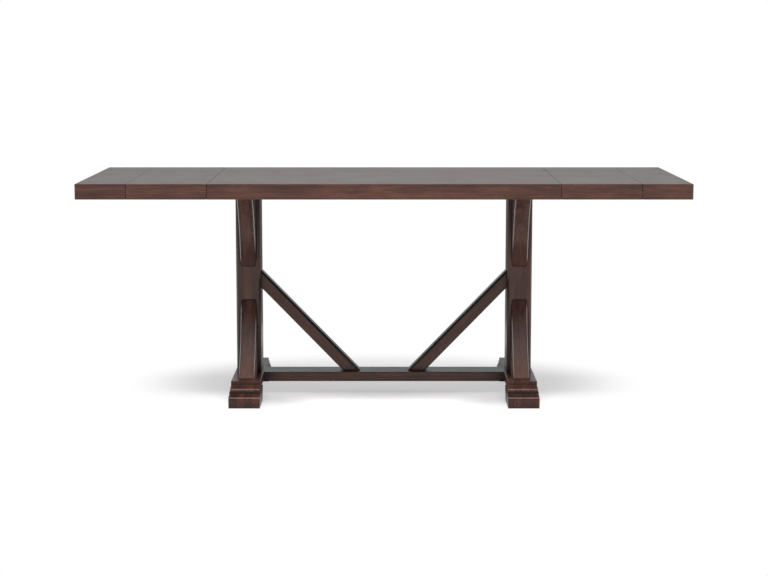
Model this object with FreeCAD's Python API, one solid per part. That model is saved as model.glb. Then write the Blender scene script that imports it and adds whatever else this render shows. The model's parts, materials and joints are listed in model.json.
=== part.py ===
"""Counter height trestle extension table, fully extended, in millimetres.

+Z is up, +X runs along the table, -Y is the front. The table is symmetric left to right and front to
back, so most pieces are drawn once, on the right or at the back, and mirrored.
"""
import math
import os

import FreeCAD
import Part

V = FreeCAD.Vector

# Top: five sections side by side
TABLE_HEIGHT = 914.0
TABLE_WIDTH = 914.0
CENTRE_LENGTH = 1393.0
LEAF_LENGTH = 317.0
END_LENGTH = 198.0
SEAM_GAP = 0.6
PANEL_THICKNESS = 25.0
EDGE_HEIGHT = 61.0
EDGE_THICKNESS = 28.0
EDGE_ROUND = 1.4
SEAM_BEVEL = 1.4

# Tongue and groove between a panel and its edge strips
TONGUE_HEIGHT = 8.0
TONGUE_REACH = 9.0
GLUE_GAP = 0.2

# Alignment pins in the seams
PIN_DIAMETER = 10.0
PIN_BURIED = 18.0
PIN_PROUD = 12.0
PIN_NOSE = 2.0
PIN_FROM_EDGE = 149.0
PIN_GAP = 0.4
PIN_SLOT_SPARE = 1.5

# Wooden extension slides
SLIDE_HEIGHT = 34.0
SLIDE_WIDTH = 28.0
SLIDE_GAP = 0.3
SLIDE_FROM_EDGE = 71.0
SLIDE_TONGUE_HEIGHT = 10.0
SLIDE_TONGUE_REACH = 8.0
SLIDE_TONGUE_LENGTH = 150.0
RAIL_HELD = 230.0
RAIL_UNDER_END = 150.0
RAIL_SEAT_SETBACK = 2.0
RUNNER_SETBACK = 10.0
RUNNER_SPARE = 8.0
PULL_OUT = 40.0

# Trestles
TRESTLE_FROM_SEAM = 132.3
POST_WIDTH = 101.6
POST_DEPTH = 130.0
POST_ROUND = 3.0
BEARER_HEIGHT = 44.0
BEARER_FROM_RAIL = 41.7
BEARER_BEVEL = 18.0
POST_TENON_WIDTH = 60.0
POST_TENON_DEPTH = 76.0
POST_TENON_LENGTH = 22.0

# Curved brackets
BRACKET_THICKNESS = 70.0
BRACKET_HEIGHT = 307.0
BRACKET_REACH = 169.0
BRACKET_RADIUS = 600.0
BRACKET_TIP = 0.3
BRACKET_TOE = 6.0
BRACKET_ROUND = 10.0

# Feet
FOOT_TOP = 94.2
PAD_TOP = 59.5
PAD_FRONT = 371.5
PAD_HEEL = 205.0
PAD_HEEL_TOP = 172.0
PAD_WIDTH = 126.4
PAD_NOSE_Z = 36.5
PAD_SETBACK = 3.0
PAD_BROW = 7.5
BEAM_WIDTH = 120.0
BEAM_FRONT = 328.0
BEAM_TOP_FRONT = 275.0
BEAM_NOSE_Z = 63.4
BEAM_BROW = 15.2
NOSE_RADIUS = 10.0
COVE_RADIUS = 3.5
BEAM_ROUND = 2.0
SEAM_V = 1.5

# Floor glides
GLIDE_RADIUS = 15.0
GLIDE_THICKNESS = 5.0
GLIDE_PROUD = 0.6
GLIDE_BEVEL = 1.0
GLIDE_GAP = 0.2
GLIDE_INSET = 27.0

# Stretcher and braces
STRETCHER_WIDTH = 122.0
STRETCHER_THICKNESS = 40.0
STRETCHER_TOP = 92.8
STRETCHER_ROUND = 2.5
STRETCHER_TENON_WIDTH = 76.0
STRETCHER_TENON_HEIGHT = 18.0
STRETCHER_TENON_LENGTH = 24.0
BRACE_WIDTH = 64.0
BRACE_THICKNESS = 51.5
BRACE_ANGLE = 45.9
BRACE_FOOT_SHARE = 0.1938
BRACE_ROUND = 10.0
BRACE_UNDER_ROUND = 2.5
BRACE_TENON_HEIGHT = 34.0
BRACE_TENON_WIDTH = 44.0
BRACE_TENON_LENGTH = 15.0

# Fasteners
RUNNER_SCREW_INSET = 40.0
RAIL_SCREW_INSET = 30.0
BEARER_SCREW_INSET = 20.0
BEARER_SCREW_SPREAD = 25.0
PAD_SCREW_SPREAD = 30.0
PAD_SCREW_FROM_NOSE = 66.0
BRACE_SCREW_FROM_HEEL = 17.0
BRACE_SCREW_SPREAD = 16.0
SCREW_LENGTH = 45.0
SCREW_BITE = 16.0
SCREW_RADIUS = 2.25
SCREW_HEAD_RADIUS = 4.6
SCREW_HEAD_HEIGHT = 3.2
SCREW_HOLE_GAP = 0.35
PILOT_GAP = 0.1
BOLT_RADIUS = 4.0
BOLT_HEAD_RADIUS = 7.5
BOLT_HEAD_HEIGHT = 6.0
BOLT_SOCKET = 6.0
BOLT_Y = 51.0
BOLT_SUNK = 10.0
BOLT_GAP = 0.4
BOLT_SOCKET_FLOOR = 2.0
BOLT_PAST_NUT = 10.0
NUT_RADIUS = 5.0
NUT_LENGTH = 22.0
NUT_FROM_END = 40.0
NUT_GAP = 0.2

# How far a cutting tool runs past the face it opens
CUT = 1.0

# Heights and lengths that follow from the sizes above
PANEL_UNDER = TABLE_HEIGHT - PANEL_THICKNESS
PANEL_MID = TABLE_HEIGHT - PANEL_THICKNESS / 2
PANEL_SIDE = TABLE_WIDTH / 2 - EDGE_THICKNESS
BEARER_UNDER = PANEL_UNDER - BEARER_HEIGHT
CENTRE_END = CENTRE_LENGTH / 2
LEAF_START = CENTRE_END + SEAM_GAP
LEAF_STOP = LEAF_START + LEAF_LENGTH
END_START = LEAF_STOP + SEAM_GAP
TABLE_END = END_START + END_LENGTH
TRESTLE_X = CENTRE_END - TRESTLE_FROM_SEAM
RUNNER_INNER = PANEL_SIDE - SLIDE_FROM_EDGE - SLIDE_WIDTH
RAIL_OUTER = RUNNER_INNER - SLIDE_GAP
RAIL_START = CENTRE_END - RAIL_HELD
RAIL_STOP = END_START + RAIL_UNDER_END
RUNNER_START = RAIL_START - LEAF_LENGTH - RUNNER_SPARE
RUNNER_STOP = CENTRE_END - RUNNER_SETBACK
BEARER_REACH = RAIL_OUTER - SLIDE_WIDTH - BEARER_FROM_RAIL
STRETCHER_END = TRESTLE_X - BEAM_WIDTH / 2
POST_INNER = TRESTLE_X - POST_WIDTH / 2
POST_FACE = POST_DEPTH / 2
BOLT_Z = (PAD_TOP + FOOT_TOP) / 2
BRACE_SLOPE = math.tan(math.radians(BRACE_ANGLE))
BRACE_TALL = BRACE_THICKNESS / math.cos(math.radians(BRACE_ANGLE))
BRACE_TIP_X = BRACE_FOOT_SHARE * POST_INNER
BRACE_HEEL_X = BRACE_TIP_X + BRACE_TALL / BRACE_SLOPE
BRACE_HEEL_Z = STRETCHER_TOP + (POST_INNER - BRACE_HEEL_X) * BRACE_SLOPE


def block(x0, x1, y0, y1, z0, z1):
    """Box between two corners."""
    return Part.makeBox(x1 - x0, y1 - y0, z1 - z0, V(x0, y0, z0))


def upright(x, y, z0, z1, radius):
    """Vertical cylinder."""
    return Part.makeCylinder(radius, z1 - z0, V(x, y, z0), V(0, 0, 1))


def along_x(x0, x1, y, z, radius):
    """Cylinder that lies along X."""
    return Part.makeCylinder(radius, x1 - x0, V(x0, y, z), V(1, 0, 0))


def board_yz(points, x0, x1):
    """Board of constant section: (y, z) corners carried from x0 to x1."""
    corners = [V(x0, y, z) for y, z in points]
    return Part.Face(Part.makePolygon(corners + corners[:1])).extrude(V(x1 - x0, 0, 0))


def board_xz(points, y0, y1):
    """Board of constant section: (x, z) corners carried from y0 to y1."""
    corners = [V(x, y0, z) for x, z in points]
    return Part.Face(Part.makePolygon(corners + corners[:1])).extrude(V(0, y1 - y0, 0))


def wedge_xy(points, z0, z1):
    """Upright prism over (x, y) corners."""
    corners = [V(x, y, z0) for x, y in points]
    return Part.Face(Part.makePolygon(corners + corners[:1])).extrude(V(0, 0, z1 - z0))


def flip_x(shape):
    """The same piece on the left."""
    return shape.mirror(V(0, 0, 0), V(1, 0, 0))


def flip_y(shape):
    """The same piece at the front."""
    return shape.mirror(V(0, 0, 0), V(0, 1, 0))


def straight_edges(shape, axis, keep):
    """Straight edges along one axis (0, 1 or 2) whose middle passes the test."""
    found = []
    for edge in shape.Edges:
        if not isinstance(edge.Curve, Part.Line):
            continue
        if abs(abs(edge.tangentAt(edge.FirstParameter)[axis]) - 1) > 1e-6:
            continue
        if keep(edge.CenterOfMass):
            found.append(edge)
    return found


def near(a, b):
    """True where two lengths agree."""
    return abs(a - b) < 1e-3


def save(name, shape):
    """Check a piece and write its file."""
    if not shape.isValid() or shape.Volume <= 0:
        raise ValueError("bad shape: " + name)
    shape.exportStep("parts/" + name + ".step")


def save_pair_y(front, back, shape):
    """Write a piece at the back and its mirror at the front."""
    save(back, shape)
    save(front, flip_y(shape))


def save_pair_x(name, shape):
    """Write a piece on the right and its mirror on the left."""
    save("right_" + name, shape)
    save("left_" + name, flip_x(shape))


def save_four(name, shape):
    """Write a piece in all four corners of the table."""
    for side, there in (("right", shape), ("left", flip_x(shape))):
        save(side + "_back_" + name, there)
        save(side + "_front_" + name, flip_y(there))


def turned(points, x, y, z):
    """Solid turned about a vertical axis from (radius, height) corners."""
    corners = [V(r, 0, h) for r, h in points]
    solid = Part.Face(Part.makePolygon(corners + corners[:1])).revolve(V(0, 0, 0), V(0, 0, 1), 360)
    solid.translate(V(x, y, z))
    return solid


def screw(x, y, joint_z):
    """Wood screw driven upward, its bite starting at the joint."""
    seat = SCREW_BITE - SCREW_LENGTH
    tip = SCREW_BITE
    head = seat - SCREW_HEAD_HEIGHT
    points = [
        (0, head),
        (SCREW_HEAD_RADIUS, head),
        (SCREW_HEAD_RADIUS, seat),
        (SCREW_RADIUS, seat),
        (SCREW_RADIUS, tip - 3 * SCREW_RADIUS),
        (0, tip),
    ]
    return turned(points, x, y, joint_z)


def save_screws(name, places, joint_z):
    """Write one file with a screw at each place."""
    save(name, Part.makeCompound([screw(x, y, joint_z) for x, y in places]))


def screw_passage(x, y, joint_z, open_z):
    """Clearance hole and counterbore in the lower piece."""
    seat = joint_z - (SCREW_LENGTH - SCREW_BITE)
    shank = upright(x, y, seat - CUT, joint_z + CUT, SCREW_RADIUS + SCREW_HOLE_GAP)
    return shank.fuse(upright(x, y, open_z - CUT, seat, SCREW_HEAD_RADIUS + SCREW_HOLE_GAP))


def screw_pilot(x, y, joint_z):
    """Pilot hole in the upper piece."""
    return upright(x, y, joint_z - CUT, joint_z + SCREW_BITE + CUT, SCREW_RADIUS + PILOT_GAP)


def drilled(shape, tools):
    """A piece with all its holes cut at once."""
    return shape.cut(Part.makeCompound(tools))


# Where the screws go: (x, y) at the right and back; the others are mirrored
RUNNER_SCREW_Y = RUNNER_INNER + (SLIDE_WIDTH + SLIDE_TONGUE_REACH) / 2
RUNNER_SCREWS = [
    (RUNNER_START + RUNNER_SCREW_INSET, RUNNER_SCREW_Y),
    ((RUNNER_START + RUNNER_STOP) / 2, RUNNER_SCREW_Y),
    (RUNNER_STOP - RUNNER_SCREW_INSET, RUNNER_SCREW_Y),
]
RAIL_SCREWS = [
    (END_START + RAIL_SCREW_INSET, RAIL_OUTER - SLIDE_WIDTH / 2),
    (RAIL_STOP - RAIL_SCREW_INSET, RAIL_OUTER - SLIDE_WIDTH / 2),
]
BEARER_SCREWS = [
    (TRESTLE_X - BEARER_SCREW_SPREAD, BEARER_REACH - BEARER_SCREW_INSET),
    (TRESTLE_X + BEARER_SCREW_SPREAD, BEARER_REACH - BEARER_SCREW_INSET),
]
PAD_SCREWS = [
    (TRESTLE_X - PAD_SCREW_SPREAD, BEAM_FRONT - PAD_SCREW_FROM_NOSE),
    (TRESTLE_X + PAD_SCREW_SPREAD, BEAM_FRONT - PAD_SCREW_FROM_NOSE),
]
BRACE_SCREWS = [(BRACE_HEEL_X - BRACE_SCREW_FROM_HEEL, BRACE_SCREW_SPREAD)]


def all_four(places):
    """Places mirrored to all four corners."""
    return [(sx * x, sy * y) for x, y in places for sx in (1, -1) for sy in (1, -1)]


def right_two(places):
    """Places mirrored front to back only."""
    return [(x, sy * y) for x, y in places for sy in (1, -1)]


def panel_section():
    """Panel corners in (y, z), with a tongue along both sides."""
    low = PANEL_MID - TONGUE_HEIGHT / 2
    high = PANEL_MID + TONGUE_HEIGHT / 2
    tip = PANEL_SIDE + TONGUE_REACH
    right = [
        (PANEL_SIDE, PANEL_UNDER),
        (PANEL_SIDE, low),
        (tip, low),
        (tip, high),
        (PANEL_SIDE, high),
        (PANEL_SIDE, TABLE_HEIGHT),
    ]
    return right + [(-y, z) for y, z in reversed(right)]


def strip_section(inner, outer):
    """Edge strip corners across its thickness, with the groove for the tongue."""
    low = PANEL_MID - TONGUE_HEIGHT / 2 - GLUE_GAP
    high = PANEL_MID + TONGUE_HEIGHT / 2 + GLUE_GAP
    root = inner + TONGUE_REACH + GLUE_GAP
    foot = TABLE_HEIGHT - EDGE_HEIGHT
    return [
        (inner, foot),
        (outer, foot),
        (outer, TABLE_HEIGHT),
        (inner, TABLE_HEIGHT),
        (inner, high),
        (root, high),
        (root, low),
        (inner, low),
    ]


def panel(x0, x1):
    """Panel with bevelled top edges at its two seams."""
    board = board_yz(panel_section(), x0, x1)
    seams = straight_edges(board, 1, lambda p: near(p.z, TABLE_HEIGHT))
    return board.makeChamfer(SEAM_BEVEL, seams)


def back_strip(x0, x1):
    """Back edge strip with a rounded outer face."""
    strip = board_yz(strip_section(PANEL_SIDE, TABLE_WIDTH / 2), x0, x1)
    outer = straight_edges(strip, 0, lambda p: near(p.y, TABLE_WIDTH / 2))
    return strip.makeFillet(EDGE_ROUND, outer)


def seam_bevelled(strip, seams):
    """Strip with a fine bevel round the outside of each seam end."""
    rim = []
    for edge in strip.Edges:
        middle = edge.CenterOfMass
        at_seam = any(near(edge.BoundBox.XMin, x) for x in seams)
        flat = near(edge.BoundBox.XLength, 0)
        outside = middle.y > PANEL_SIDE + TONGUE_REACH + GLUE_GAP
        above = middle.z > TABLE_HEIGHT - EDGE_HEIGHT + EDGE_ROUND
        if at_seam and flat and outside and above:
            rim.append(edge)
    return strip.makeChamfer(SEAM_BEVEL, rim)


def pin(seam_x, y):
    """Alignment pin with a tapered nose, standing out of a seam in +X."""
    radius = PIN_DIAMETER / 2
    shaft = along_x(seam_x - PIN_BURIED, seam_x + PIN_PROUD, y, PANEL_MID, radius)
    nose = [edge for edge in shaft.Edges if near(edge.CenterOfMass.x, seam_x + PIN_PROUD)]
    return shaft.makeChamfer(PIN_NOSE, nose)


def pin_hole(seam_x, y, inward):
    """Blind hole that a pin is glued into."""
    depth = PIN_BURIED + GLUE_GAP
    x0 = min(seam_x, seam_x + inward * depth)
    return along_x(x0, x0 + depth, y, PANEL_MID, PIN_DIAMETER / 2 + GLUE_GAP)


def pin_slot(seam_x, y, inward):
    """Slot for a pin, open to the seam and to the underside so that the leaf lifts straight off."""
    radius = PIN_DIAMETER / 2 + PIN_GAP
    depth = PIN_PROUD - SEAM_GAP + PIN_SLOT_SPARE
    x0 = min(seam_x, seam_x + inward * depth)
    x1 = x0 + depth
    throat = block(x0, x1, y - radius, y + radius, PANEL_UNDER - CUT, PANEL_MID)
    return throat.fuse(along_x(x0, x1, y, PANEL_MID, radius))


PIN_ROWS = (PIN_FROM_EDGE - PANEL_SIDE, 0.0, PANEL_SIDE - PIN_FROM_EDGE)


def make_top():
    """Panels, edge strips and pins of all five sections."""
    centre_holes = [pin_hole(CENTRE_END, y, -1) for y in PIN_ROWS]
    centre_holes += [pin_hole(-CENTRE_END, y, 1) for y in PIN_ROWS]
    centre_holes += [screw_pilot(x, y, PANEL_UNDER) for x, y in all_four(RUNNER_SCREWS + BEARER_SCREWS)]
    save("centre_panel", drilled(panel(-CENTRE_END, CENTRE_END), centre_holes))
    centre_strip = seam_bevelled(back_strip(-CENTRE_END, CENTRE_END), (-CENTRE_END, CENTRE_END))
    save_pair_y("centre_front_edge", "centre_back_edge", centre_strip)
    centre_pins = [pin(CENTRE_END, y) for y in PIN_ROWS]
    save("centre_pins", Part.makeCompound(centre_pins + [flip_x(piece) for piece in centre_pins]))

    slots = [pin_slot(LEAF_START, y, 1) for y in PIN_ROWS]
    slots += [pin_slot(LEAF_STOP, y, -1) for y in PIN_ROWS]
    save_pair_x("leaf_panel", drilled(panel(LEAF_START, LEAF_STOP), slots))
    leaf_strip = seam_bevelled(back_strip(LEAF_START, LEAF_STOP), (LEAF_START, LEAF_STOP))
    save_pair_x("leaf_back_edge", leaf_strip)
    save_pair_x("leaf_front_edge", flip_y(leaf_strip))

    panel_stop = TABLE_END - EDGE_THICKNESS
    end_board = board_yz(panel_section(), END_START, panel_stop)
    seam = straight_edges(end_board, 1, lambda p: near(p.z, TABLE_HEIGHT) and near(p.x, END_START))
    end_board = end_board.makeChamfer(SEAM_BEVEL, seam)
    tongue = block(
        panel_stop - CUT,
        panel_stop + TONGUE_REACH,
        -PANEL_SIDE,
        PANEL_SIDE,
        PANEL_MID - TONGUE_HEIGHT / 2,
        PANEL_MID + TONGUE_HEIGHT / 2,
    )
    end_holes = [pin_hole(END_START, y, 1) for y in PIN_ROWS]
    end_holes += [screw_pilot(x, y, PANEL_UNDER) for x, y in right_two(RAIL_SCREWS)]
    save_pair_x("end_panel", drilled(end_board.fuse(tongue).removeSplitter(), end_holes))

    half = TABLE_WIDTH / 2
    foot = TABLE_HEIGHT - EDGE_HEIGHT
    inside = (panel_stop, PANEL_SIDE)
    outside = (TABLE_END, half)
    mitre = wedge_xy([inside, outside, (TABLE_END, PANEL_SIDE)], foot, TABLE_HEIGHT)
    side_strip = seam_bevelled(back_strip(END_START, TABLE_END), (END_START,)).cut(mitre)
    save_pair_x("end_back_edge", side_strip)
    save_pair_x("end_front_edge", flip_y(side_strip))

    cap = board_xz(strip_section(panel_stop, TABLE_END), -half, half)
    outer = straight_edges(cap, 1, lambda p: near(p.x, TABLE_END))
    cap = cap.makeFillet(EDGE_ROUND, outer)
    corner = wedge_xy([inside, outside, (panel_stop, half)], foot, TABLE_HEIGHT)
    save_pair_x("end_cap_edge", drilled(cap, [corner, flip_y(corner)]))

    end_pins = []
    for y in PIN_ROWS:
        piece = pin(0, y).mirror(V(0, 0, 0), V(1, 0, 0))
        piece.translate(V(END_START, 0, 0))
        end_pins.append(piece)
    save_pair_x("end_pins", Part.makeCompound(end_pins))


def make_slides():
    """Grooved runners under the centre and tongued rails under the ends."""
    middle = PANEL_UNDER - SLIDE_HEIGHT / 2
    under = PANEL_UNDER - SLIDE_HEIGHT
    half = SLIDE_TONGUE_HEIGHT / 2
    runner = block(RUNNER_START, RUNNER_STOP, RUNNER_INNER, RUNNER_INNER + SLIDE_WIDTH, under, PANEL_UNDER)
    blind = RAIL_START + SLIDE_TONGUE_LENGTH + PULL_OUT + SLIDE_GAP
    groove = block(
        RUNNER_START - CUT,
        blind,
        RUNNER_INNER - CUT,
        RUNNER_INNER + SLIDE_TONGUE_REACH,
        middle - half - SLIDE_GAP,
        middle + half + SLIDE_GAP,
    )
    holes = [screw_passage(x, y, PANEL_UNDER, under) for x, y in RUNNER_SCREWS]
    save_four("runner", drilled(runner, [groove] + holes))
    save_screws("runner_screws", all_four(RUNNER_SCREWS), PANEL_UNDER)

    inner = RAIL_OUTER - SLIDE_WIDTH
    side = [
        (RAIL_START, under),
        (RAIL_STOP, under),
        (RAIL_STOP, PANEL_UNDER),
        (END_START + RAIL_SEAT_SETBACK, PANEL_UNDER),
        (END_START + RAIL_SEAT_SETBACK, PANEL_UNDER - SLIDE_GAP),
        (RAIL_START, PANEL_UNDER - SLIDE_GAP),
    ]
    rail = board_xz(side, inner, RAIL_OUTER)
    tongue = block(
        RAIL_START,
        RAIL_START + SLIDE_TONGUE_LENGTH,
        RAIL_OUTER - CUT,
        RUNNER_INNER + SLIDE_TONGUE_REACH - SLIDE_GAP,
        middle - half,
        middle + half,
    )
    holes = [screw_passage(x, y, PANEL_UNDER, under) for x, y in RAIL_SCREWS]
    save_four("rail", drilled(rail.fuse(tongue).removeSplitter(), holes))
    save_screws("right_rail_screws", right_two(RAIL_SCREWS), PANEL_UNDER)
    save_screws("left_rail_screws", [(-x, y) for x, y in right_two(RAIL_SCREWS)], PANEL_UNDER)


def tenon(z0, z1, gap):
    """Post tenon, or with a gap the mortise that takes it."""
    wide = POST_TENON_WIDTH / 2 + gap
    deep = POST_TENON_DEPTH / 2 + gap
    return block(TRESTLE_X - wide, TRESTLE_X + wide, -deep, deep, z0, z1)


def bracket():
    """Lower back bracket: a hollow-curved block whose rounded edges run out into the post.

    In the plane of the post's side, u is the reach from the post and z the height above the foot. The
    curve is one arc through the tip and the toe; it is drawn longer than needed, rounded, then trimmed.
    """
    tip = V(BRACKET_TIP, BRACKET_HEIGHT, 0)
    toe = V(BRACKET_REACH, BRACKET_TOE, 0)
    chord = toe - tip
    outward = V(-chord.y, chord.x, 0).normalize()
    to_centre = math.sqrt(BRACKET_RADIUS**2 - (chord.Length / 2) ** 2)
    centre = (tip + toe) * 0.5 + outward * to_centre
    over = 4 * BRACKET_ROUND / BRACKET_RADIUS

    def on_arc(angle):
        u = centre.x + BRACKET_RADIUS * math.cos(angle)
        z = centre.y + BRACKET_RADIUS * math.sin(angle)
        return V(TRESTLE_X - BRACKET_THICKNESS / 2, POST_FACE + u, FOOT_TOP + z)

    start = math.atan2(tip.y - centre.y, tip.x - centre.x) - over
    stop = math.atan2(toe.y - centre.y, toe.x - centre.x) + over
    first = on_arc(start)
    last = on_arc(stop)
    curve = Part.Arc(first, on_arc((start + stop) / 2), last).toShape()
    depth = POST_FACE - 4 * BRACKET_ROUND
    rear_top = V(first.x, depth, first.z)
    rear_low = V(last.x, depth, last.z)
    outline = Part.Wire([
        curve,
        Part.makeLine(last, rear_low),
        Part.makeLine(rear_low, rear_top),
        Part.makeLine(rear_top, first),
    ])
    blank = Part.Face(outline).extrude(V(BRACKET_THICKNESS, 0, 0))
    curved = [edge for edge in blank.Edges if isinstance(edge.Curve, Part.Circle)]
    blank = blank.makeFillet(BRACKET_ROUND, curved)
    room = block(
        TRESTLE_X - BRACKET_THICKNESS,
        TRESTLE_X + BRACKET_THICKNESS,
        POST_FACE,
        POST_FACE + BRACKET_REACH,
        FOOT_TOP,
        FOOT_TOP + BRACKET_HEIGHT,
    )
    return blank.common(room)


def make_trestles():
    """Bearers, posts and brackets."""
    half = POST_WIDTH / 2
    side = [
        (BEARER_REACH, PANEL_UNDER),
        (BEARER_REACH, BEARER_UNDER + BEARER_BEVEL),
        (BEARER_REACH - BEARER_BEVEL / 2, BEARER_UNDER),
    ]
    outline = side + [(-y, z) for y, z in reversed(side)]
    bearer = board_yz(outline, TRESTLE_X - half, TRESTLE_X + half)
    holes = [screw_passage(x, y, PANEL_UNDER, BEARER_UNDER) for x, y in right_two(BEARER_SCREWS)]
    holes.append(tenon(BEARER_UNDER - CUT, BEARER_UNDER + POST_TENON_LENGTH + GLUE_GAP, GLUE_GAP))
    save_pair_x("bearer", drilled(bearer, holes))
    save_screws("bearer_screws", all_four(BEARER_SCREWS), PANEL_UNDER)

    post = block(POST_INNER, POST_INNER + POST_WIDTH, -POST_FACE, POST_FACE, FOOT_TOP, BEARER_UNDER)
    post = post.makeFillet(POST_ROUND, straight_edges(post, 2, lambda p: True))
    core = tenon(FOOT_TOP - POST_TENON_LENGTH, BEARER_UNDER + POST_TENON_LENGTH, 0)
    post = post.fuse(core).removeSplitter()
    save_pair_x("post", post.cut(brace_tenon(GLUE_GAP)))

    lower = bracket()
    middle = V(0, 0, (FOOT_TOP + BEARER_UNDER) / 2)
    save_four("lower_bracket", lower)
    save_four("upper_bracket", lower.mirror(middle, V(0, 0, 1)))


def moulding(start, stop, x):
    """Moulding from an upright face at start to an upright face at stop, both (y, z), stepping inward.

    A round nose and a small cove are joined by their common tangent, which makes the tread of the step.
    """
    nose = V(start[0] - NOSE_RADIUS, start[1], 0)
    cove = V(stop[0] + COVE_RADIUS, stop[1], 0)
    across = nose.x - cove.x
    rise = cove.y - nose.y
    slope = math.atan2(rise, across) - math.asin((NOSE_RADIUS + COVE_RADIUS) / math.hypot(across, rise))

    def on_nose(angle):
        return V(x, nose.x + NOSE_RADIUS * math.cos(angle), nose.y + NOSE_RADIUS * math.sin(angle))

    def on_cove(angle):
        return V(x, cove.x - COVE_RADIUS * math.cos(angle), cove.y - COVE_RADIUS * math.sin(angle))

    turn = math.pi / 2 - slope
    nose_arc = Part.Arc(on_nose(0), on_nose(turn / 2), on_nose(turn))
    cove_arc = Part.Arc(on_cove(turn), on_cove(turn / 2), on_cove(0))
    tread = Part.makeLine(on_nose(turn), on_cove(turn))
    return [nose_arc.toShape(), tread, cove_arc.toShape()]


def beam():
    """Foot beam: a flat bar with a stepped moulding at both ends."""
    x = TRESTLE_X - BEAM_WIDTH / 2
    brow = FOOT_TOP - BEAM_BROW
    end = [Part.makeLine(V(x, BEAM_FRONT, PAD_TOP), V(x, BEAM_FRONT, BEAM_NOSE_Z))]
    end += moulding((BEAM_FRONT, BEAM_NOSE_Z), (BEAM_TOP_FRONT, brow), x)
    end.append(Part.makeLine(V(x, BEAM_TOP_FRONT, brow), V(x, BEAM_TOP_FRONT, FOOT_TOP)))
    front = [flip_y(edge) for edge in end]
    top = Part.makeLine(V(x, BEAM_TOP_FRONT, FOOT_TOP), V(x, -BEAM_TOP_FRONT, FOOT_TOP))
    under = Part.makeLine(V(x, -BEAM_FRONT, PAD_TOP), V(x, BEAM_FRONT, PAD_TOP))
    outline = Part.Wire(Part.__sortEdges__(end + front + [top, under]))
    bar = Part.Face(outline).extrude(V(BEAM_WIDTH, 0, 0))
    rim = straight_edges(bar, 1, lambda p: near(p.z, FOOT_TOP))
    rim += straight_edges(bar, 0, lambda p: near(p.z, FOOT_TOP))
    bar = bar.makeFillet(BEAM_ROUND, rim)
    return bar.makeChamfer(SEAM_V, straight_edges(bar, 1, lambda p: near(p.z, PAD_TOP)))


def pad():
    """Right back pad: moulded nose, sloped heel."""
    x = TRESTLE_X - PAD_WIDTH / 2
    floor = GLIDE_PROUD
    brow = PAD_TOP - PAD_BROW
    face = BEAM_FRONT - PAD_SETBACK
    edges = [
        Part.makeLine(V(x, PAD_HEEL, floor), V(x, PAD_FRONT, floor)),
        Part.makeLine(V(x, PAD_FRONT, floor), V(x, PAD_FRONT, PAD_NOSE_Z)),
    ]
    edges += moulding((PAD_FRONT, PAD_NOSE_Z), (face, brow), x)
    edges += [
        Part.makeLine(V(x, face, brow), V(x, face, PAD_TOP)),
        Part.makeLine(V(x, face, PAD_TOP), V(x, PAD_HEEL_TOP, PAD_TOP)),
        Part.makeLine(V(x, PAD_HEEL_TOP, PAD_TOP), V(x, PAD_HEEL, floor)),
    ]
    foot = Part.Face(Part.Wire(edges)).extrude(V(PAD_WIDTH, 0, 0))
    return foot.makeChamfer(SEAM_V, straight_edges(foot, 1, lambda p: near(p.z, PAD_TOP)))


GLIDE_ROWS = [(TRESTLE_X, PAD_HEEL + GLIDE_INSET), (TRESTLE_X, PAD_FRONT - GLIDE_INSET)]


def glide(x, y):
    """Round floor glide, sunk in the pad, with a bevelled rim."""
    points = [
        (0, 0),
        (GLIDE_RADIUS - GLIDE_BEVEL, 0),
        (GLIDE_RADIUS, GLIDE_BEVEL),
        (GLIDE_RADIUS, GLIDE_THICKNESS),
        (0, GLIDE_THICKNESS),
    ]
    return turned(points, x, y, 0)


def bolt_passage():
    """Clearance along one connector bolt, from the outside of the beam to past its nut."""
    outer = TRESTLE_X + BEAM_WIDTH / 2
    inner = STRETCHER_END - NUT_FROM_END - BOLT_PAST_NUT - CUT
    shank = along_x(inner, outer, BOLT_Y, BOLT_Z, BOLT_RADIUS + BOLT_GAP)
    return shank.fuse(along_x(outer - BOLT_SUNK, outer + CUT, BOLT_Y, BOLT_Z, BOLT_HEAD_RADIUS + BOLT_GAP))


def bolt():
    """Socket head connector bolt at the right and back."""
    seat = TRESTLE_X + BEAM_WIDTH / 2 - BOLT_SUNK
    shank = along_x(STRETCHER_END - NUT_FROM_END - BOLT_PAST_NUT, seat, BOLT_Y, BOLT_Z, BOLT_RADIUS)
    head = along_x(seat, seat + BOLT_HEAD_HEIGHT, BOLT_Y, BOLT_Z, BOLT_HEAD_RADIUS)
    reach = BOLT_SOCKET / math.sqrt(3)
    middle = V(seat + BOLT_SOCKET_FLOOR, BOLT_Y, BOLT_Z)
    turns = [math.radians(60 * step) for step in range(6)]
    corners = [middle + V(0, math.cos(turn), math.sin(turn)) * reach for turn in turns]
    socket = Part.Face(Part.makePolygon(corners + corners[:1])).extrude(V(BOLT_HEAD_HEIGHT, 0, 0))
    return head.fuse(shank).removeSplitter().cut(socket)


def nut_hole():
    """Hole for a barrel nut, open under the stretcher."""
    top = BOLT_Z + NUT_LENGTH / 2 + NUT_GAP
    under = STRETCHER_TOP - STRETCHER_THICKNESS - CUT
    return upright(STRETCHER_END - NUT_FROM_END, BOLT_Y, under, top, NUT_RADIUS + NUT_GAP)


def nut():
    """Barrel nut across a connector bolt."""
    x = STRETCHER_END - NUT_FROM_END
    barrel = upright(x, BOLT_Y, BOLT_Z - NUT_LENGTH / 2, BOLT_Z + NUT_LENGTH / 2, NUT_RADIUS)
    return barrel.cut(along_x(x - NUT_LENGTH, x + NUT_LENGTH, BOLT_Y, BOLT_Z, BOLT_RADIUS + PILOT_GAP))


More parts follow.
